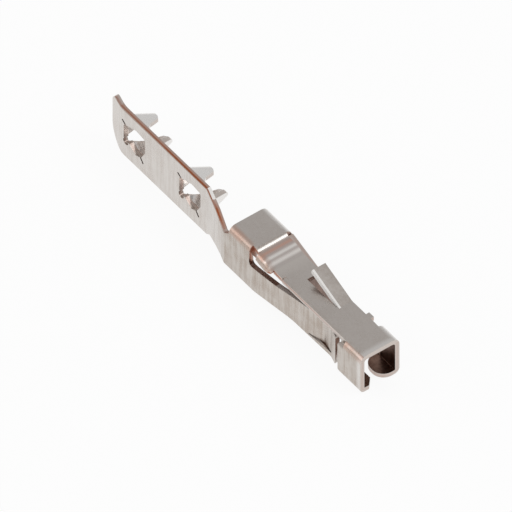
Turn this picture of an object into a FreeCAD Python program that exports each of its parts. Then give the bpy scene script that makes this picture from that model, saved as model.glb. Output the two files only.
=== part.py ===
import FreeCAD, Part
import math
import os

# Flat flex crimp contact: one strip of spring copper alloy, stamped and folded.
# X runs along the contact, with the mating mouth at its +X end. Y runs across it, from the base
# wall to the far wall. Z points up, to the side that carries the locking tongue.
# It is built with the mouth at X = 0 and the base wall's outer face at Y = 0, and is then moved
# so that the origin lies under the middle of the part. Places along X count back from the mouth.

# Strip
sheet = 0.20

# Front box round the mouth
box_width = 1.80
box_height = 1.80
box_bend = 0.13
base_wall_length = 1.36
base_corner_length = 1.04
far_wall_length = 0.90
lip_bend = 0.03
base_lip_drop = 0.05
base_lip_width = 0.68
lip_slot = 0.26
far_lip_length = 1.10
base_lip_chamfer_width = 0.27
base_lip_chamfer_length = 0.29
far_lip_radius = 0.50
base_wall_chamfer = 0.16

# Channel behind the spring beams
channel_back = 7.90
channel_front = 6.46
channel_height = 2.10
channel_bend = 0.13

# Top panel between the slits
panel_left = 0.17
panel_right_inset = 0.27
step_length = 0.16
step_drop = 0.10
hump_length = 0.48
hump_slope_length = 0.40
crease_rise = 0.04
ramp_length = 0.77
panel_bend = 0.12
hump_bend = 0.40
ramp_bend = 1.00
shoulder_back = 1.66
shoulder_front = 1.38
shoulder_width = 0.15

# Corner bend that the panel keeps along its base side
curl_low_back = 1.74
curl_low_middle = 1.60
curl_low_front = 1.68
curl_middle = 5.74
curl_radius = 0.40
front_corner_back = 4.90

# Slits beside the top panel
base_slit_back = 6.68
base_slit_radius = 0.16
far_slit_back = 6.46
far_slit_radius = 0.08

# Spring beams
beam_start = 6.30
beam_root_bend = 3.00
beam_root_radius = 0.50
base_beam_low = 1.17
base_beam_knee_place = 5.20
base_beam_knee = 1.26
base_beam_top_place = 3.50
base_beam_radius = 1.00
beam_height = 1.52
far_beam_height = 1.90
far_beam_drop = 0.32
far_beam_drop_place = 4.80
far_beam_radius = 1.00
waist_place = 4.30
waist_rise = 0.20
waist_radius = 3.0
pinch = 0.27
contact_place = 2.10
contact_bend = 0.50
tip_place = 1.66
tip_flare = 0.14
tip_corner = 0.14
pad_back = 3.35
pad_height = 0.22
pad_bulge = 0.13
pad_place = 2.62
pad_bend = 0.30
pad_slit = 0.05

# Locking tongue
tongue_width = 0.60
tongue_root = 2.48
tongue_reach = 1.62
tongue_angle = 22.0
tongue_bend = 0.12
window_back_gap = 0.24
window_front_gap = 0.10
window_side_gap = 0.05

# Neck between channel and crimp plate
neck_back = 9.82
neck_middle = 9.02
neck_front = 8.21
neck_middle_offset = 0.25
neck_bend = 0.30
neck_top_middle = 1.90
neck_top_front = 1.56
neck_bottom = 0.08
neck_notch_back = 8.45
neck_corner_back = 9.56
cut_corner = 0.05

# Crimp plate
plate_length = 5.91
plate_width = 2.34
plate_offset = 0.45
plate_middle = 1.02
plate_low_radius = 0.95
plate_high_radius = 0.30
plate_front_radius = 0.25
kick_length = 0.75
kick_offset = 0.20
kick_bend = 1.40

# Pierced holes, each with two folded barbs; places are measured from the middle of the hole
front_hole_inset = 1.02
rear_hole_inset = 1.55
hole_lift = 0.06
hole_back = 0.62
hole_back_low = 0.30
hole_back_high = 0.36
rear_notch_place = 0.51
rear_notch_lift = 0.43
hole_top_place = 0.13
hole_top = 0.65
hole_front = 0.66
hole_front_lift = 0.58
hole_front_drop = 0.11
front_notch_place = 0.40
front_notch_drop = 0.55
hole_foot_place = 0.08
hole_foot = 0.66
hole_waist_place = 0.28
hole_waist_drop = 0.40
hole_corner = 0.12
relief_place = 0.50
relief_drop = 0.44
relief_radius = 0.15
rear_notch_angle = 145.0
front_notch_angle = -51.5
notch_length = 0.25
notch_width = 0.09
notch_depth = 0.10
barb_height = 1.10
barb_tip_back = 0.40
upper_barb_tip_lift = 0.08
lower_barb_tip_lift = 0.34
end_wall_low = 0.30
side_wall_front = 0.56
side_wall_lift = 0.56
barb_bend = 0.04

# Width of a barb's walls, as rows of height and width, each a share of the whole
barb_profile = [(0.0, 1.0), (0.2, 0.74), (0.45, 0.5), (0.75, 0.33), (0.93, 0.22), (1.0, 0.09)]


def vec(x, y, z=0.0):
    return FreeCAD.Vector(x, y, z)


def corner_arc(before, corner, after, radius):
    """Start, middle and end of the tangent arc that rounds a corner."""
    back = (before - corner).normalize()
    ahead = (after - corner).normalize()
    half = back.getAngle(ahead) / 2.0
    reach = radius / math.tan(half)
    middle_way = (back + ahead).normalize()
    middle = corner + middle_way * (radius / math.sin(half) - radius)
    return corner + back * reach, middle, corner + ahead * reach


def rounded_edges(points, radii):
    """Edges of an open path through the points, with each inner corner rounded."""
    edges = []
    start = points[0]
    for index in range(1, len(points) - 1):
        radius = radii[index]
        if radius <= 0.0:
            edges.append(Part.LineSegment(start, points[index]).toShape())
            start = points[index]
            continue
        enter, middle, leave = corner_arc(points[index - 1], points[index], points[index + 1], radius)
        if start.distanceToPoint(enter) > 1e-6:
            edges.append(Part.LineSegment(start, enter).toShape())
        edges.append(Part.Arc(enter, middle, leave).toShape())
        start = leave
    if start.distanceToPoint(points[-1]) > 1e-6:
        edges.append(Part.LineSegment(start, points[-1]).toShape())
    return edges


def outline(corners):
    """Flat face inside a closed outline of (u, v, radius) corners."""
    points = [vec(u, v) for u, v, radius in corners]
    radii = [radius for u, v, radius in corners]
    seam = (points[0] + points[-1]) * 0.5
    edges = rounded_edges([seam] + points + [seam], [0.0] + radii + [0.0])
    return Part.Face(Part.Wire(edges))


def bent_strip(stations, side):
    """Flat section of the sheet along a path of (u, v, inner bend radius) stations.

    The path is one face of the sheet; side is 1.0 if the metal lies to its left, -1.0 if right.
    """
    points = [vec(u, v) for u, v, radius in stations]
    inner = [radius for u, v, radius in stations]
    ways = [(points[i + 1] - points[i]).normalize() for i in range(len(points) - 1)]
    normals = [vec(-way.y, way.x) * side for way in ways]
    path_radii = [0.0]
    offset_radii = [0.0]
    offset_points = [points[0] + normals[0] * sheet]
    for index in range(1, len(points) - 1):
        turn = ways[index - 1].cross(ways[index]).z * side
        mitre = (normals[index - 1] + normals[index]).normalize()
        reach = sheet / mitre.dot(normals[index])
        offset_points.append(points[index] + mitre * reach)
        path_radii.append(inner[index] + (sheet if turn > 0 else 0.0))
        offset_radii.append(inner[index] + (0.0 if turn > 0 else sheet))
    offset_points.append(points[-1] + normals[-1] * sheet)
    path_radii.append(0.0)
    offset_radii.append(0.0)
    near = rounded_edges(points, path_radii)
    far = rounded_edges(offset_points, offset_radii)
    caps = [
        Part.LineSegment(points[-1], offset_points[-1]).toShape(),
        Part.LineSegment(points[0], offset_points[0]).toShape(),
    ]
    return Part.Face(Part.Wire(Part.__sortEdges__(near + far + caps)))


def upright(face, low, high):
    """Plan section (u = X, v = Y) raised from one height to another."""
    solid = face.extrude(vec(0, 0, high - low))
    solid.translate(vec(0, 0, low))
    return solid


def across(face, near, far):
    """Side section (u = X, v = Z) carried across the part."""
    turned = face.copy()
    turned.rotate(vec(0, 0), vec(1, 0), 90)
    solid = turned.extrude(vec(0, far - near))
    solid.translate(vec(0, near))
    return solid


def along(face, back, front):
    """Cross section (u = Y, v = Z) carried along the part."""
    turned = face.copy()
    turned.rotate(vec(0, 0), vec(1, 1, 1), 120)
    solid = turned.extrude(vec(front - back, 0))
    solid.translate(vec(back, 0))
    return solid


def block(x_range, y_range, z_range):
    size = [pair[1] - pair[0] for pair in (x_range, y_range, z_range)]
    return Part.makeBox(size[0], size[1], size[2], vec(x_range[0], y_range[0], z_range[0]))


# Levels and places that follow from the sizes above
clear = 1.0
plate_back = neck_back + plate_length
plate_low = plate_middle - plate_width / 2.0
plate_high = plate_middle + plate_width / 2.0
channel_wall_top = channel_height - channel_bend - sheet
corner_radius = channel_bend + sheet
panel_right = box_width - panel_right_inset
far_lip_width = box_width - base_lip_width - lip_slot
hole_middle = plate_middle + hole_lift


def beam_stations(bulge):
    """Plan of a spring beam, from its root to its flared tip, as the base wall's outer face."""
    slope = pinch / (beam_start - contact_place)
    stations = [(-beam_start, 0.0, beam_root_bend)]
    if bulge > 0.0:
        stations.append((-pad_back, slope * (beam_start - pad_back), pad_bend))
        stations.append((-pad_place, slope * (beam_start - pad_place) + bulge, pad_bend))
    stations.append((-contact_place, pinch, contact_bend))
    stations.append((-tip_place, pinch - tip_flare, 0.0))
    return stations


def base_plan(bulge):
    """Plan of the base strip: crimp plate, neck, base wall and base beam."""
    stations = [
        (-plate_back, plate_offset + kick_offset, 0.0),
        (-(plate_back - kick_length), plate_offset, kick_bend),
        (-neck_back, plate_offset, neck_bend),
        (-neck_middle, neck_middle_offset, neck_bend),
        (-neck_front, 0.0, neck_bend),
    ]
    return bent_strip(stations + beam_stations(bulge), 1.0)


def base_side():
    """Side outline of the base strip."""
    return outline([
        (-plate_back, plate_low, plate_low_radius),
        (-plate_back, plate_high, plate_high_radius),
        (-neck_back, plate_high, plate_front_radius),
        (-neck_middle, neck_top_middle, plate_front_radius),
        (-neck_front, neck_top_front, base_slit_radius),
        (-channel_back, channel_wall_top, 0.0),
        (-base_slit_back, channel_wall_top, 0.0),
        (-base_slit_back, base_beam_low, base_slit_radius),
        (-base_beam_knee_place, base_beam_knee, base_beam_radius),
        (-base_beam_top_place, beam_height, base_beam_radius),
        (-tip_place, beam_height, tip_corner),
        (-tip_place, 0.0, tip_corner),
        (-contact_place, 0.0, 0.0),
        (-waist_place, waist_rise, waist_radius),
        (-channel_front, 0.0, beam_root_radius),
        (-neck_front, 0.0, cut_corner),
        (-neck_notch_back, neck_bottom, cut_corner),
        (-neck_corner_back, neck_bottom, cut_corner),
        (-neck_back, plate_low, cut_corner),
    ])


def make_base_strip():
    """Crimp plate, neck, base wall and base beam with its raised contact pad."""
    low = plate_low - clear
    high = plate_high + clear
    lower = upright(base_plan(0.0), low, pad_height)
    upper = upright(base_plan(pad_bulge), pad_height, high)
    strip = lower.fuse(upper)
    slit_edges = (pad_height - pad_slit / 2.0, pad_height + pad_slit / 2.0)
    slit = block((-pad_back, -contact_place), (-clear, box_width), slit_edges)
    return strip.cut(slit).common(across(base_side(), -clear, box_width))


def make_far_wall():
    """Far wall and far beam, the base wall's mirror image with a higher top edge."""
    stations = [(-channel_back, 0.0, 0.0)] + beam_stations(0.0)
    mirrored = [(x, box_width - y, radius) for x, y, radius in stations]
    strip = upright(bent_strip(mirrored, -1.0), -clear, channel_height + clear)
    side = outline([
        (-channel_back, 0.0, cut_corner),
        (-channel_back, channel_wall_top, 0.0),
        (-far_slit_back, channel_wall_top, 0.0),
        (-far_slit_back, far_beam_height, far_slit_radius),
        (-far_beam_drop_place, far_beam_height - far_beam_drop, far_beam_radius),
        (-tip_place, beam_height, tip_corner),
        (-tip_place, 0.0, tip_corner),
        (-contact_place, 0.0, 0.0),
        (-waist_place, waist_rise, waist_radius),
        (-channel_front, 0.0, beam_root_radius),
    ])
    return strip.common(across(side, 0.0, box_width + clear))


def make_channel():
    """Roof of the channel with both of its bends."""
    section = bent_strip([
        (0.0, channel_wall_top - sheet, 0.0),
        (0.0, channel_height, channel_bend),
        (box_width, channel_height, channel_bend),
        (box_width, channel_wall_top - sheet, 0.0),
    ], -1.0)
    roof = along(section, -channel_back, -channel_front)
    base_slit = across(outline([
        (-base_slit_back, base_beam_low, base_slit_radius),
        (-base_slit_back, channel_height + clear, base_slit_radius),
        (0.0, channel_height + clear, 0.0),
        (0.0, base_beam_low, 0.0),
    ]), -clear, panel_left)
    return roof.cut(base_slit)


def corner_fold(rows):
    """Fold between roof and base wall, through rows of place behind the mouth and height."""
    sections = []
    for place, top in rows:
        section = bent_strip([
            (0.0, top - 2 * corner_radius, 0.0),
            (0.0, top, channel_bend),
            (2 * corner_radius, top, 0.0),
        ], -1.0)
        section.rotate(vec(0, 0), vec(1, 1, 1), 120)
        section.translate(vec(-place, 0))
        sections.append(section.OuterWire)
    return Part.makeLoft(sections, True, True)


def make_panel():
    """Top panel: level roof, step, hump and ramp down to the front box, with its shoulder."""
    step_end = channel_front - step_length
    hump_end = step_end - hump_length
    slope_end = hump_end - hump_slope_length
    hump_top = channel_height - step_drop
    stations = [
        (-channel_front - sheet, channel_height, 0.0),
        (-channel_front, channel_height, panel_bend),
        (-step_end, hump_top, panel_bend),
        (-hump_end, hump_top, hump_bend),
        (-slope_end, box_height + crease_rise, panel_bend),
        (-slope_end + ramp_length, box_height, ramp_bend),
        (-base_corner_length, box_height, 0.0),
    ]
    body = across(bent_strip(stations, -1.0), panel_left, panel_right)
    shoulder = block(
        (-shoulder_back, -shoulder_front),
        (panel_right - sheet, panel_right + shoulder_width),
        (box_height - sheet, box_height),
    )
    window_back = tongue_root + tongue_reach + window_back_gap
    tongue_left = panel_right - tongue_width
    window = block(
        (-window_back, -tongue_root - window_front_gap),
        (tongue_left - window_side_gap, box_width + clear),
        (box_height - 2 * sheet, channel_height + clear),
    )
    levels = (box_height - 2 * sheet, channel_height + clear)
    hump_side = block((-step_end, -slope_end), (-clear, corner_radius), levels)
    front_side = block((-front_corner_back, clear), (-clear, corner_radius), levels)
    curl_side = across(outline([
        (-step_end, curl_low_back, cut_corner),
        (-curl_middle, curl_low_middle, curl_radius),
        (-slope_end, curl_low_front, cut_corner),
        (-slope_end, hump_top + clear, 0.0),
        (-step_end, hump_top + clear, 0.0),
    ]), -clear, corner_radius)
    fold = corner_fold([(step_end, hump_top), (hump_end, hump_top), (slope_end, box_height + crease_rise)])
    hump_curl = fold.common(curl_side)
    front_edge = corner_fold([(front_corner_back, box_height), (base_wall_length, box_height)])
    kept = block((-front_corner_back, clear), (panel_left, box_width), (box_height - sheet - lip_bend, box_height))
    front_edge = front_edge.common(kept)
    body = body.cut([hump_side, front_side]).fuse([hump_curl, front_edge, shoulder])
    return body.cut(window).fuse(make_tongue(tongue_left))


def make_tongue(left):
    """Locking tongue, raised from the panel towards the back."""
    rise = math.tan(math.radians(tongue_angle)) * tongue_reach
    stations = [
        (-tongue_root - tongue_reach, box_height + rise, 0.0),
        (-tongue_root, box_height, tongue_bend),
        (-tongue_root + 2 * sheet, box_height, 0.0),
    ]
    return across(bent_strip(stations, -1.0), left, panel_right)


def make_lip_trim():
    """Metal that is missing round the two lips: a chamfer at the base lip, round corners beyond."""
    back = -base_wall_length - clear
    lip_level = sheet + lip_bend
    base_lip = outline([
        (0.0, -clear, 0.0),
        (0.0, base_lip_width - base_lip_chamfer_width, 0.0),
        (-base_lip_chamfer_length, base_lip_width, 0.0),
        (back, base_lip_width, 0.0),
        (back, -clear, 0.0),
    ])
    far_lip = outline([
        (0.0, box_width + clear, 0.0),
        (0.0, box_width - far_lip_width, far_lip_radius),
        (-far_lip_length, box_width - far_lip_width, far_lip_radius),
        (-far_lip_length, box_width + clear, 0.0),
    ])
    whole = block((back, clear), (-clear, box_width + clear), (-clear, lip_level))
    return whole.cut([upright(lip, -2 * clear, lip_level) for lip in (base_lip, far_lip)])


def make_front_box():
    """Front box: base lip, base wall, roof, far wall and far lip, trimmed to their lengths."""
    section = bent_strip([
        (base_lip_width, -base_lip_drop, 0.0),
        (0.0, -base_lip_drop, lip_bend),
        (0.0, box_height, box_bend),
        (box_width, box_height, box_bend),
        (box_width, 0.0, lip_bend),
        (box_width - far_lip_width, 0.0, 0.0),
    ], -1.0)
    box = along(section, -base_wall_length, 0.0)
    back = -base_wall_length - clear
    above = box_height + clear
    roof_edge = box_height - sheet - box_bend
    base_slit = block((back, -base_corner_length), (-clear, panel_left), (roof_edge, above))
    far_slit = block((back, -far_wall_length), (panel_right, box_width + clear), (lip_bend + sheet, above))
    low_corner = across(outline([
        (-base_wall_length, base_wall_chamfer, 0.0),
        (-base_wall_length + base_wall_chamfer, 0.0, 0.0),
        (-base_wall_length + base_wall_chamfer, -clear, 0.0),
        (back, -clear, 0.0),
        (back, base_wall_chamfer, 0.0),
    ]), -clear, base_lip_width + clear)
    return box.cut([base_slit, far_slit, low_corner, make_lip_trim()])


def hole_plan():
    """Outline of a pierced hole, drawn round the middle of the hole."""
    return outline([
        (-hole_back, -hole_back_low, cut_corner),
        (-hole_back, hole_back_high, cut_corner),
        (-rear_notch_place, rear_notch_lift, 0.0),
        (hole_top_place, hole_top, hole_corner),
        (hole_front, hole_front_lift, hole_corner),
        (hole_front, -hole_front_drop, hole_corner),
        (front_notch_place, -front_notch_drop, 0.0),
        (hole_foot_place, -hole_foot, cut_corner),
        (-hole_waist_place, -hole_waist_drop, cut_corner),
    ])


def notch(start, angle):
    """Narrow cut that leaves the hole at a fold's end."""
    way = vec(math.cos(math.radians(angle)), math.sin(math.radians(angle)))
    aside = vec(-way.y, way.x) * (notch_width / 2.0)
    inner = start - way * notch_width
    outer = start + way * notch_length
    corners = [inner - aside, inner + aside, outer + aside, outer - aside, inner - aside]
    return Part.Face(Part.makePolygon(corners))


def make_hole(place):
    """Cutter for one pierced hole with its corner relief."""
    relief_edge = Part.makeCircle(relief_radius, vec(-relief_place, -relief_drop))
    hole = across(hole_plan(), -clear, clear).fuse(across(Part.Face(Part.Wire(relief_edge)), -clear, clear))
    hole.translate(vec(-place, plate_offset, hole_middle))
    return hole


def make_notches(place):
    """Cutter for the two notches of a hole, which run on into the foot of the folds."""
    plans = [
        notch(vec(-rear_notch_place, rear_notch_lift), rear_notch_angle),
        notch(vec(front_notch_place, -front_notch_drop), front_notch_angle),
    ]
    cutters = [across(plan, -clear, sheet + notch_depth) for plan in plans]
    for cutter in cutters:
        cutter.translate(vec(-place, plate_offset, hole_middle))
    return cutters


def barb_section(rise, share, tip_lift):
    """Cross section of a barb: an end wall and a side wall that meet in a fold."""
    back = hole_back + (barb_tip_back - hole_back) * rise
    lift = side_wall_lift + (tip_lift - side_wall_lift) * rise
    end_wall = (end_wall_low + side_wall_lift) * share
    side_wall = (hole_back + side_wall_front) * share
    face = bent_strip([
        (-back, lift - end_wall, 0.0),
        (-back, lift, barb_bend),
        (-back + side_wall, lift, 0.0),
    ], 1.0)
    face.translate(vec(0, 0, -rise * barb_height))
    return face.OuterWire


def make_barb(place, turn, tip_lift):
    """One folded barb, tapered from its foot in the plate to its blunt tip."""
    sections = [barb_section(rise, share, tip_lift) for rise, share in barb_profile]
    foot = sections[0].copy()
    foot.translate(vec(0, 0, sheet / 2.0))
    barb = Part.makeLoft([foot] + sections, True, True)
    barb.rotate(vec(0, 0), vec(1, 0), 90)
    barb.rotate(vec(0, 0), vec(0, 1), turn)
    barb.translate(vec(-place, plate_offset + sheet, hole_middle))
    return barb


def pierce(body):
    """Punches both holes in the crimp plate and raises their barbs."""
    for place in (neck_back + front_hole_inset, plate_back - rear_hole_inset):
        body = body.cut(make_hole(place))
        body = body.fuse(make_barb(place, 0, upper_barb_tip_lift))
        body = body.fuse(make_barb(place, 180, lower_barb_tip_lift))
        body = body.cut(make_notches(place))
    return body


shape = pierce(make_base_strip().removeSplitter()).removeSplitter()
for joined in (make_far_wall(), make_channel(), make_panel(), make_front_box()):
    shape = shape.fuse(joined.removeSplitter()).removeSplitter()

# The origin goes under the middle of the part, level with its lowest edge
box = shape.BoundBox
shape.translate(vec(-box.Center.x, -box.Center.y, -box.ZMin))

os.makedirs("parts", exist_ok=True)
shape.exportStep("parts/contact.step")
print("contact:", shape.isValid(), len(shape.Solids), "solid,", round(shape.Volume, 3), "mm3")
print(shape.BoundBox)
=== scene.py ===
import math

import bmesh
import bpy
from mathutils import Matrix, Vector
from mathutils.bvhtree import BVHTree


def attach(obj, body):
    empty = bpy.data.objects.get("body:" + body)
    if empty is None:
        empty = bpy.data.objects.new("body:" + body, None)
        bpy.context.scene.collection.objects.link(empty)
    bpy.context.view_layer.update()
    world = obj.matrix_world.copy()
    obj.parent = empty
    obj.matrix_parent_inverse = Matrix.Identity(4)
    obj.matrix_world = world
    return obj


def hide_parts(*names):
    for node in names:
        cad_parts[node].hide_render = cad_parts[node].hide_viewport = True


# Flat flex crimp contact: one stamped and folded strip of tin-plated copper alloy.
# Everything is in metres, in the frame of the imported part, where a name doesn't say otherwise.

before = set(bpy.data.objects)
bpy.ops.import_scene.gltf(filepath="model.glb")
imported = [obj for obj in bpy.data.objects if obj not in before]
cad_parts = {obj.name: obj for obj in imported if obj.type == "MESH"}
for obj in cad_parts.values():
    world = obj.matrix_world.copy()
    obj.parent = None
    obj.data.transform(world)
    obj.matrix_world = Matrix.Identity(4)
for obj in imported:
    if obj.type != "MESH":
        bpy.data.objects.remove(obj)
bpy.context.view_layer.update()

mm = 0.001

# What the strip is made of and how its edges are finished
strip = {
    "sheet": 0.20 * mm,           # thickness of the metal
    "thicknessSlack": 0.30,       # share by which a measured wall may differ from the sheet
    "axis": (0.0, 0.0, 1.05 * mm),  # a point on the line that the strip is folded round
    "mergeWithin": 0.0002 * mm,   # corners closer than this are one
    "flatAngle": 0.4,             # degrees up to which facets are joined
    "smoothAngle": 36.0,          # degrees up to which facets shade as one bend
    "edgeAngle": 40.0,            # degrees from which an edge counts as cut
    "edgeRound": 0.016 * mm,      # rounding that the die leaves along the cut edges
    "tongueRound": 0.07 * mm,     # the tool that lifts the tongue rolls its base-side edge over
}


def hexColour(text):
    values = [int(text[i:i + 2], 16) / 255.0 for i in (1, 3, 5)]
    linear = [v / 12.92 if v <= 0.04045 else ((v + 0.055) / 1.055) ** 2.4 for v in values]
    return (*linear, 1.0)


# An input is another node's socket, a plain value or a colour in hexadecimal
def addNode(tree, kind, inputs=None, **settings):
    node = tree.nodes.new(kind)
    for name, value in settings.items():
        setattr(node, name, value)
    for name, source in (inputs or {}).items():
        socket = node.inputs[name]
        if isinstance(source, bpy.types.NodeSocket):
            tree.links.new(source, socket)
        else:
            socket.default_value = hexColour(source) if isinstance(source, str) else source
    return node


def newMaterial(name):
    material = bpy.data.materials.new(name)
    material.use_nodes = True
    material.node_tree.nodes.clear()
    return material, material.node_tree


def finishMaterial(tree, colour, roughness, metallic, bump):
    surface = addNode(tree, "ShaderNodeBsdfPrincipled", {
        "Base Color": colour, "Roughness": roughness, "Metallic": metallic, "Normal": bump.outputs["Normal"],
    })
    addNode(tree, "ShaderNodeOutputMaterial", {"Surface": surface.outputs["BSDF"]})


def readAttribute(tree, name):
    return addNode(tree, "ShaderNodeAttribute", attribute_name=name).outputs["Fac"]


def addNoise(tree, place, sizeMm, detail, roughness=0.5):
    noise = addNode(tree, "ShaderNodeTexNoise", {
        "Vector": place, "Scale": 1.0 / (sizeMm * mm), "Detail": detail, "Roughness": roughness,
    })
    return noise.outputs["Fac"]


def addMath(tree, operation, *sources):
    return addNode(tree, "ShaderNodeMath", dict(enumerate(sources)), operation=operation).outputs[0]


def mapRange(tree, value, before, after=(0.0, 1.0), kind="LINEAR"):
    ramp = addNode(tree, "ShaderNodeMapRange", {
        "Value": value, "From Min": before[0], "From Max": before[1], "To Min": after[0], "To Max": after[1],
    }, interpolation_type=kind)
    return ramp.outputs["Result"]


def mixValue(tree, factor, first, second):
    mix = addNode(tree, "ShaderNodeMix", {"Factor": factor, "A": first, "B": second}, data_type="FLOAT")
    return mix.outputs["Result"]


def mixColour(tree, factor, first, second):
    return addNode(tree, "ShaderNodeMix", {0: factor, 6: first, 7: second}, data_type="RGBA").outputs[2]


def colourRamp(tree, factor, stops):
    ramp = addNode(tree, "ShaderNodeValToRGB", {"Fac": factor})
    elements = ramp.color_ramp.elements
    while len(elements) < len(stops):
        elements.new(0.5)
    for element, (place, colour) in zip(elements, stops):
        element.position = place
        element.color = hexColour(colour)
    ramp.color_ramp.interpolation = "EASE"
    return ramp.outputs["Color"]


# Bright tin plate: a thin soft coat over rolled copper alloy. It is a warm grey metal with a
# satin gloss, slightly mottled, and the folding tools leave fine streaks in it.
tinPlate = {
    "light": "#C9C2BB",
    "dark": "#AC9F94",
    "level": "#C0B9B4",           # even, cooler grey on the faces that lie flat: quieter mottle and a painted top shade
    "levelShadeShare": 0.8,            # how far that tone covers the mottling
    "paleHighlightTone": "#F1EFED",           # pale tone: painted highlight on the barbs and the far folds, a paler plate, and the paler stretch at the roof's front edge
    "wornSheenTone": "#BF9886",            # pinkish copper on the base side's upper folds: copper showing where they rubbed in the die, and a painted sheen where each fold faces that side
    "wornSheenShare": (0.2, 0.7),      # how much of it shows, from patch to patch
    "roughness": (0.22, 0.35),    # from the glossiest mottle to the dullest
    "mottleMm": 0.7,              # size of the soft mottling
    "grainMm": 0.035,             # real grain is finer; drawn as coarse as the render shows
    "streakMm": 0.11,             # spacing of the die streaks, which run up the walls
    "bump": 0.14,
    "paleFrontMm": (7.55, 7.80),     # the roof's front edge is paler over this stretch
    "paleFrontShare": 0.45,
    "humpStripesMm": (1.50, 2.55),      # painted highlight and shade stripes across the hump
    "humpStripeTones": [
        (0.0, "#DDD8D3"), (0.12, "#BCA9A0"), (0.24, "#C9A597"), (0.36, "#BFB1AB"), (0.5, "#EDE8E3"),
        (0.6, "#C4BAB5"), (0.72, "#EAE4DF"), (0.84, "#BDB5B0"), (1.0, "#C9C2BC"),
    ],
}

# Inside of the folds: the same strip, duller and browner where little plate reaches it, and darkened further
# as painted shade of the hollows.
innerFace = {
    "light": "#917568",
    "dark": "#684E43",
    "roughness": (0.29, 0.42),
    "mottleMm": 0.4,
    "grainMm": 0.035,
    "streakMm": 0.14,
    "bump": 0.3,
}

streakStretch = 0.06              # the streaks change this much slower up a wall than across it
bumpDepth = 0.01 * mm             # height of the grain and the streaks


def addPlateWearAndLight(tree, colour, recipe, place, mottle):
    along = addNode(tree, "ShaderNodeSeparateXYZ", {"Vector": place}).outputs["X"]
    # Painted top shade: up-facing faces take an even, cooler grey with quieter mottle
    levelShade = addMath(tree, "MULTIPLY", readAttribute(tree, "levelFaceShade"), recipe["levelShadeShare"])
    colour = mixColour(tree, levelShade, colour, recipe["level"])
    # Painted highlight and shade stripes across the hump
    humpStripePlace = mapRange(tree, along, [end * mm for end in recipe["humpStripesMm"]])
    stripes = colourRamp(tree, humpStripePlace, recipe["humpStripeTones"])
    colour = mixColour(tree, readAttribute(tree, "paintedHumpStripes"), colour, stripes)
    paleFrontEnds = [end * mm for end in recipe["paleFrontMm"]]
    paleFront = mapRange(tree, along, paleFrontEnds, (0.0, recipe["paleFrontShare"]), "SMOOTHSTEP")
    # Pale tone: painted highlight on the barbs and far folds, plus a paler plate and front stretch
    paleAndLit = addMath(tree, "MAXIMUM", readAttribute(tree, "paleToneAndHighlight"), paleFront)
    colour = mixColour(tree, paleAndLit, colour, recipe["paleHighlightTone"])
    # Copper wear and painted sheen on the base side's upper folds
    patchy = mapRange(tree, mottle, (0.38, 0.6), recipe["wornSheenShare"])
    wornSheen = addMath(tree, "MULTIPLY", readAttribute(tree, "foldWearAndSheen"), patchy)
    return mixColour(tree, wornSheen, colour, recipe["wornSheenTone"])


def makeTinPlate(name, recipe):
    material, tree = newMaterial(name)
    place = addNode(tree, "ShaderNodeTexCoord").outputs["Object"]
    upWalls = addNode(tree, "ShaderNodeMapping", {"Vector": place, "Scale": (1.0, 1.0, streakStretch)})
    mottle = addNoise(tree, place, recipe["mottleMm"], 5.0, 0.6)
    streaks = addNoise(tree, upWalls.outputs["Vector"], recipe["streakMm"], 3.0, 0.55)
    grain = addNoise(tree, place, recipe["grainMm"], 2.0)
    tone = mixValue(tree, 0.5, mottle, streaks)
    colour = colourRamp(tree, tone, [(0.34, recipe["dark"]), (0.66, recipe["light"])])
    if "wornSheenTone" in recipe:
        colour = addPlateWearAndLight(tree, colour, recipe, place, mottle)
    roughness = mapRange(tree, mottle, (0.3, 0.7), recipe["roughness"])
    bump = addNode(tree, "ShaderNodeBump", {
        "Strength": recipe["bump"], "Distance": bumpDepth, "Height": mixValue(tree, 0.35, streaks, grain),
    })
    finishMaterial(tree, colour, roughness, 1.0, bump)
    return material


# Sheared edge: the punch cuts through the plate and bares the copper alloy. The first part of the
# cut is rolled and bright, then comes rough brown metal, then a paler smeared band.
# On the neck and the tongue a near-white painted highlight covers part of the cut.
shearedEdge = {
    "plated": "#D0C9C3",          # edge that the plate still covers
    "bright": "#F7F4F1",          # painted highlight along the rolled cut edges of the neck and the tongue
    "roll": "#C9B4A8",
    "tear": "#A35F40",
    "smear": "#BC8F7B",
    "back": "#B39A90",
    "roughness": 0.38,
    "grainMm": 0.05,
    "wander": 0.25,               # share of the cut over which the grain shifts its bands
    "highlightEnd": (0.6, 0.72),    # bared share at which a stretch with the painted highlight turns to copper
    "metalFrom": 0.1,             # copper share from which the edge is all metal
    "bump": 0.35,
}


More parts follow.
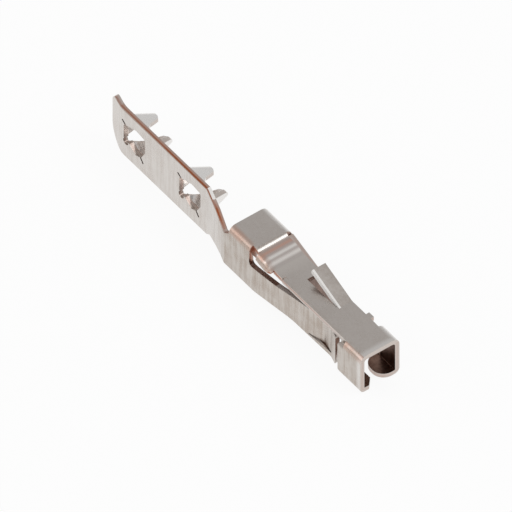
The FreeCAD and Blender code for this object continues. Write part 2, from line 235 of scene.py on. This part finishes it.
def makeShearedEdge(name, recipe):
    material, tree = newMaterial(name)
    place = addNode(tree, "ShaderNodeTexCoord").outputs["Object"]
    grain = addNoise(tree, place, recipe["grainMm"], 3.0, 0.6)
    wandered = addMath(tree, "MULTIPLY_ADD", grain, recipe["wander"], readAttribute(tree, "cutDepth"))
    bands = addMath(tree, "SUBTRACT", wandered, recipe["wander"] / 2.0)
    copper = colourRamp(tree, bands, [
        (0.06, recipe["roll"]), (0.2, recipe["tear"]), (0.45, recipe["tear"]),
        (0.62, recipe["smear"]), (0.95, recipe["back"]),
    ])
    bared = readAttribute(tree, "bared")
    # Where a painted highlight covers half of the cut, the other half starts at a sharp line
    paintedEdgeHighlight = addMath(tree, "GREATER_THAN", readAttribute(tree, "paintedEdgeHighlight"), 0.5)
    sharp = mapRange(tree, bared, recipe["highlightEnd"], kind="SMOOTHSTEP")
    copperShare = mixValue(tree, paintedEdgeHighlight, bared, sharp)
    plateAndHighlight = mixColour(tree, paintedEdgeHighlight, recipe["plated"], recipe["bright"])
    colour = mixColour(tree, copperShare, plateAndHighlight, copper)
    # A plated edge is so finely scratched that it scatters light like a pale surface, and the painted
    # highlight is drawn as a pale surface too
    metallic = mapRange(tree, copperShare, (0.0, recipe["metalFrom"]))
    bump = addNode(tree, "ShaderNodeBump", {
        "Strength": recipe["bump"], "Distance": bumpDepth, "Height": grain,
    })
    finishMaterial(tree, colour, recipe["roughness"], metallic, bump)
    return material


materials = [
    makeTinPlate("bright tin plate", tinPlate),
    makeTinPlate("thin tin over bronze, painted shade", innerFace),
    makeShearedEdge("sheared bronze edge", shearedEdge),
]
outer, inner, edge = range(3)
print("materials made")

# Where the plate is worn and where highlight, sheen and shade are painted on it; places are in millimetres
# in the part's frame
wearAndLight = {
    "plateEnd": -0.5,             # the crimp plate and neck lie behind this place
    "plateFace": -0.22,           # the barbs stand beyond this side of the plate
    "neckBend": (-2.10, -1.25),   # stretch of neck whose far edge carries a painted highlight
    "cleanEdge": (2.6, 6.6),      # stretch whose rolled corner gets neither the copper nor the painted sheen, and stays bright
    "copperEnd": 3.2,             # cut edges show most copper behind this place
    "wallTopSide": -0.6,          # the base wall's upper edge lies on this side of it
    "mouth": 7.8,                 # the box's front cut lies beyond this place
    "hump": (1.45, 2.60),         # the painted highlight and shade stripes lie on this stretch of the hump
    "humpTop": 1.75,              # and above this height
    "tongue": (3.6, 5.45),        # the tongue's base-side cut carries a painted highlight along here
    "tongueLow": 1.90,            # and above this height
    "tongueArea": ((3.7, 0.0, 1.945), (5.407, 0.65, 2.7)),  # box round its upper face
    "tongueBright": 0.11,         # its side carries the painted highlight up to this place
    "holes": (0.4, 1.9),          # height range of the pierced holes
    "cornerWay": Vector((0.0, -0.7071, 0.7071)),  # way that the base side's upper folds face
    "farWay": Vector((0.0, 0.7071, 0.7071)),      # and those of the far side
    "cornerFrom": 0.74,           # a fold takes the copper and painted sheen where it faces that way by more than this
    "cornerSpan": 0.2,            # and takes all of it this much further
    "sameFold": 0.75,             # faces turned less than this cosine belong to one fold
    "foldSkew": 0.4,              # a fold that leans further along X takes none of it
    "nearlyLevel": 0.7,           # share of the even tone and painted top shade on faces that slope a little
}
# Share of a cut edge that is bare of plate, and of a face that takes the pale tone and painted highlight
bareShare = {
    "barb": 0.12, "hole": 0.3, "neck": 1.0, "plate": 0.8, "mouth": 0.22, "far": 0.3,
    "front": 0.05, "wallTop": 0.4, "slit": 0.85,
}
paleAndHighlightShare = {"plate": 0.35, "barb": 0.85, "farFold": 0.6}

# How much of a face's normal lies along an axis for it to count as facing that way
facing = {"neckTop": 0.5, "side": 0.5, "up": 0.7, "front": 0.8, "wallTop": 0.8, "plate": 0.85, "level": 0.98}


def within(value, ends):
    return ends[0] < value < ends[1]


def onTongue(place):
    low, high = wearAndLight["tongueArea"]
    return all(low[i] < place[i] < high[i] for i in range(3))


def facesOut(face, axis):
    arm = face.calc_center_median() - axis
    arm.x = 0.0
    return face.normal.dot(arm) > 0


def baredShare(place, normal):
    if place.x < wearAndLight["plateEnd"]:
        if place.y > wearAndLight["plateFace"]:
            return bareShare["barb"]
        if place.x > wearAndLight["neckBend"][0]:
            return bareShare["neck"]
        return bareShare["hole"] if within(place.z, wearAndLight["holes"]) else bareShare["plate"]
    if normal.x > facing["front"] and place.x > wearAndLight["mouth"]:
        return bareShare["mouth"]
    if place.y > 0.0:
        return bareShare["far"]
    if place.x > wearAndLight["copperEnd"]:
        return bareShare["front"]
    onWallTop = normal.z > facing["wallTop"] and place.y < wearAndLight["wallTopSide"]
    return bareShare["wallTop"] if onWallTop else bareShare["slit"]


# How far the smooth normal at a corner faces straight out of a fold
def cornerShare(face, vertex, way):
    total = Vector()
    for other in vertex.link_faces:
        alike = other.material_index == face.material_index
        if alike and other.normal.dot(face.normal) > wearAndLight["sameFold"]:
            total += other.normal
    total.normalize()
    if abs(total.x) >= wearAndLight["foldSkew"]:
        return 0.0
    return max(0.0, min(1.0, (total.dot(way) - wearAndLight["cornerFrom"]) / wearAndLight["cornerSpan"]))


# Walls are measured in millimetres, because ray casts lose metre-sized slivers
def sortFaces(shape, recipe):
    corners = [corner.co / mm for corner in shape.verts]
    tree = BVHTree.FromPolygons(corners, [[v.index for v in face.verts] for face in shape.faces])
    axis = Vector(recipe["axis"])
    sheet = recipe["sheet"] / mm
    skin = 0.01                   # a ray starts this far inside the face
    for face in shape.faces:
        place = face.calc_center_median() / mm
        hit, _, _, distance = tree.ray_cast(place - face.normal * skin, -face.normal)
        wall = (distance or 0.0) + skin
        behind = place.x < wearAndLight["plateEnd"]
        isSheet = hit is not None and abs(wall - sheet) < sheet * recipe["thicknessSlack"]
        if isSheet or (behind and abs(face.normal.y) > facing["plate"]):
            # inward faces take the duller plate, darkened as painted shade
            face.material_index = outer if behind or facesOut(face, axis) else inner
        else:
            face.material_index = edge


# How deep in the cut a corner lies: 0 at the outer skin and 1 at the inner one
def cutDepth(vertex, axis):
    sides = {facesOut(face, axis) for face in vertex.link_faces if face.material_index != edge}
    if len(sides) == 2:
        return 0.5
    return 0.0 if True in sides else 1.0


def markWearAndLight(shape, layers, recipe):
    axis = Vector(recipe["axis"])
    for face in shape.faces:
        place = face.calc_center_median() / mm
        normal = face.normal
        behind = place.x < wearAndLight["plateEnd"]
        isBarb = behind and place.y > wearAndLight["plateFace"]
        isUp, isLevel = normal.z > facing["up"], normal.z > facing["level"]
        isHump = isUp and place.z > wearAndLight["humpTop"]
        isNeck = within(place.x, wearAndLight["neckBend"]) and normal.z > facing["neckTop"]
        isTongueSide = within(place.x, wearAndLight["tongue"]) and normal.y < -facing["side"]
        isTongueSide = isTongueSide and place.z > wearAndLight["tongueLow"]
        for loop in face.loops:
            if face.material_index == edge:
                depth = cutDepth(loop.vert, axis)
                loop[layers["cutDepth"]] = depth
                loop[layers["bared"]] = baredShare(place, normal)
                # painted highlight on the neck's far half of the cut and on the tongue's base-side cut
                if isNeck or isTongueSide:
                    loop[layers["bared"]] = 1.0 - depth if isNeck else 0.0
                    loop[layers["paintedEdgeHighlight"]] = 1.0
            if face.material_index == outer:
                # copper wear and painted sheen on the base side's upper folds
                if not within(place.x, wearAndLight["cleanEdge"]):
                    loop[layers["foldWearAndSheen"]] = cornerShare(face, loop.vert, wearAndLight["cornerWay"])
                # pale tone and painted highlight: barbs and plate behind, far folds in front
                if behind:
                    loop[layers["paleToneAndHighlight"]] = paleAndHighlightShare["barb" if isBarb else "plate"]
                else:
                    farFold = cornerShare(face, loop.vert, wearAndLight["farWay"])
                    loop[layers["paleToneAndHighlight"]] = paleAndHighlightShare["farFold"] * farFold
                # even tone and painted top shade on up-facing faces
                loop[layers["levelFaceShade"]] = 1.0 if isLevel else wearAndLight["nearlyLevel"] if isUp else 0.0
                # painted highlight and shade stripes on the hump's upper faces
                loop[layers["paintedHumpStripes"]] = float(isHump and within(loop.vert.co.x / mm, wearAndLight["hump"]))


def finishEdges(shape, recipe):
    rolled = shape.edges.layers.float.new("bevel_weight_edge")
    for side in shape.edges:
        turned = math.degrees(side.calc_face_angle(math.pi))
        side.smooth = turned <= recipe["smoothAngle"]
        side[rolled] = recipe["edgeRound"] / recipe["tongueRound"] if turned > recipe["edgeAngle"] else 0.0
        middle = (side.verts[0].co + side.verts[1].co) / (2.0 * mm)
        hasTop = any(face.normal.z > facing["up"] for face in side.link_faces)
        hasSide = any(face.normal.y < -facing["side"] for face in side.link_faces)
        if onTongue(middle) and middle.y < wearAndLight["tongueBright"] and hasTop and hasSide:
            side[rolled] = 1.0


# The rolled side of the tongue carries the painted highlight too, in a narrow stripe of its own
def paintTongueHighlight(shape, layers):
    upper = [face for face in shape.faces if face.normal.z > facing["up"]]
    tops = [face for face in upper if onTongue(face.calc_center_median() / mm)]
    around = dict.fromkeys(part for face in tops for part in (*face.edges, *face.verts))
    stripeEnd = (0.0, wearAndLight["tongueBright"] * mm, 0.0)
    bmesh.ops.bisect_plane(shape, geom=[*tops, *around], plane_co=stripeEnd, plane_no=(0.0, 1.0, 0.0))
    for face in shape.faces:
        middle = face.calc_center_median() / mm
        if face.normal.z > facing["up"] and onTongue(middle) and middle.y < wearAndLight["tongueBright"]:
            face.material_index = edge
            for loop in face.loops:
                loop[layers["bared"]], loop[layers["paintedEdgeHighlight"]] = 0.0, 1.0


def dressStrip(node, recipe):
    mesh = node.data.copy()
    mesh.name = "contactStrip"
    mesh.materials.clear()
    for material in materials:
        mesh.materials.append(material)
    shape = bmesh.new()
    shape.from_mesh(mesh)
    bmesh.ops.remove_doubles(shape, verts=shape.verts, dist=recipe["mergeWithin"])
    bmesh.ops.triangulate(shape, faces=shape.faces)
    shape.verts.index_update()
    shape.normal_update()
    names = ("cutDepth", "bared", "foldWearAndSheen", "paintedHumpStripes", "paleToneAndHighlight", "levelFaceShade", "paintedEdgeHighlight")
    layers = {name: shape.loops.layers.float.new(name) for name in names}
    sortFaces(shape, recipe)
    markWearAndLight(shape, layers, recipe)
    flat = math.radians(recipe["flatAngle"])
    bmesh.ops.dissolve_limit(
        shape, angle_limit=flat, verts=shape.verts, edges=shape.edges, delimit={"MATERIAL"})
    finishEdges(shape, recipe)
    paintTongueHighlight(shape, layers)
    for face in shape.faces:
        face.smooth = True
    counts = [sum(face.material_index == index for face in shape.faces) for index in (outer, inner, edge)]
    print("faces with outer plate, inner plate and bare edge:", counts)
    shape.to_mesh(mesh)
    shape.free()
    piece = bpy.data.objects.new("contactStrip", mesh)
    bpy.context.scene.collection.objects.link(piece)
    return piece


contactStrip = dressStrip(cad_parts["contact"], strip)
print("strip dressed, faces:", len(contactStrip.data.polygons))

rounding = contactStrip.modifiers.new("edge rounding", "BEVEL")
rounding.width = strip["tongueRound"]
rounding.segments = 2
rounding.limit_method = "WEIGHT"
rounding.harden_normals = False
rounding.miter_outer = "MITER_ARC"
rounding.use_clamp_overlap = True
weighting = contactStrip.modifiers.new("flat faces stay flat", "WEIGHTED_NORMAL")
weighting.keep_sharp = True

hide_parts("contact")
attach(contactStrip, "root")

# Studio: pale floor, soft lights and the camera
studio = {
    "floor": "#FFFFFF",
    "floorSize": 600 * mm,
    "sky": "#FAFAFA",
    "skyStrength": 0.68,
    "white": "#FFFFFF",           # what the camera sees behind the part
    "whiteShare": 0.91,           # share of the card that shows as plain white there
    "lights": [
        # name, direction from the part, distance, width, level
        ("softbox", (0.56, 0.42, 0.72), 250 * mm, 100 * mm, 0.42),
        ("side", (-0.5, -1.0, 0.55), 250 * mm, 140 * mm, 0.30),
    ],
}


def layFloor(recipe):
    material, tree = newMaterial("white studio card")
    card = addNode(tree, "ShaderNodeBsdfDiffuse", {"Color": recipe["floor"]})
    glow = addNode(tree, "ShaderNodeEmission", {"Color": recipe["white"], "Strength": 1.0})
    rays = addNode(tree, "ShaderNodeLightPath").outputs
    seen = addMath(tree, "MAXIMUM", rays["Is Camera Ray"], rays["Is Glossy Ray"])
    seen = addMath(tree, "MAXIMUM", seen, rays["Is Transmission Ray"])
    share = addMath(tree, "MULTIPLY", seen, recipe["whiteShare"])
    mix = addNode(tree, "ShaderNodeMixShader", {
        0: share, 1: card.outputs["BSDF"], 2: glow.outputs["Emission"],
    })
    addNode(tree, "ShaderNodeOutputMaterial", {"Surface": mix.outputs["Shader"]})
    half = recipe["floorSize"] / 2.0
    corners = [(-half, -half, 0), (half, -half, 0), (half, half, 0), (-half, half, 0)]
    mesh = bpy.data.meshes.new("studioFloor")
    mesh.from_pydata(corners, [], [(0, 1, 2, 3)])
    mesh.materials.append(material)
    floor = bpy.data.objects.new("studioFloor", mesh)
    bpy.context.scene.collection.objects.link(floor)
    return floor


def lightSky(recipe):
    world = bpy.data.worlds.new("studio sky")
    bpy.context.scene.world = world
    world.use_nodes = True
    tree = world.node_tree
    tree.nodes.clear()
    sky = addNode(tree, "ShaderNodeBackground", {"Color": recipe["sky"], "Strength": recipe["skyStrength"]})
    white = addNode(tree, "ShaderNodeBackground", {"Color": recipe["white"], "Strength": 1.0})
    mix = addNode(tree, "ShaderNodeMixShader", {
        0: addNode(tree, "ShaderNodeLightPath").outputs["Is Camera Ray"],
        1: sky.outputs["Background"], 2: white.outputs["Background"],
    })
    addNode(tree, "ShaderNodeOutputWorld", {"Surface": mix.outputs["Shader"]})


def hangLight(name, direction, distance, width, level):
    lamp = bpy.data.lights.new(name, "AREA")
    lamp.shape = "SQUARE"
    lamp.size = width
    lamp.energy = level * math.pi * distance ** 2
    body = bpy.data.objects.new(name, lamp)
    bpy.context.scene.collection.objects.link(body)
    way = Vector(direction).normalized()
    body.location = way * distance
    body.rotation_euler = way.to_track_quat("Z", "Y").to_euler()


studioFloor = layFloor(studio)
lightSky(studio)
for light in studio["lights"]:
    hangLight(*light)

# Camera: a distant view from the mouth's end, turned and tilted as the photograph's is
view = {
    "azimuth": 52.77,
    "elevation": 46.7,
    "target": (2.688 * mm, -1.718 * mm, 3.565 * mm),
    "distance": 80 * mm,
    "frameWidth": 512 * 0.03636 * mm,
    "clip": (1 * mm, 1000 * mm),
}
turn, lift = math.radians(view["azimuth"]), math.radians(view["elevation"])
back = Vector((math.sin(turn) * math.cos(lift), -math.cos(turn) * math.cos(lift), math.sin(lift)))
lens = bpy.data.cameras.new("camera")
lens.type = "ORTHO"
lens.ortho_scale = view["frameWidth"]
lens.clip_start, lens.clip_end = view["clip"]
camera = bpy.data.objects.new("camera", lens)
bpy.context.scene.collection.objects.link(camera)
camera.location = Vector(view["target"]) + back * view["distance"]
camera.rotation_mode = "QUATERNION"
camera.rotation_quaternion = back.to_track_quat("Z", "Y")
bpy.context.scene.camera = camera
bpy.context.scene.view_settings.view_transform = "Standard"
print("studio and camera placed")
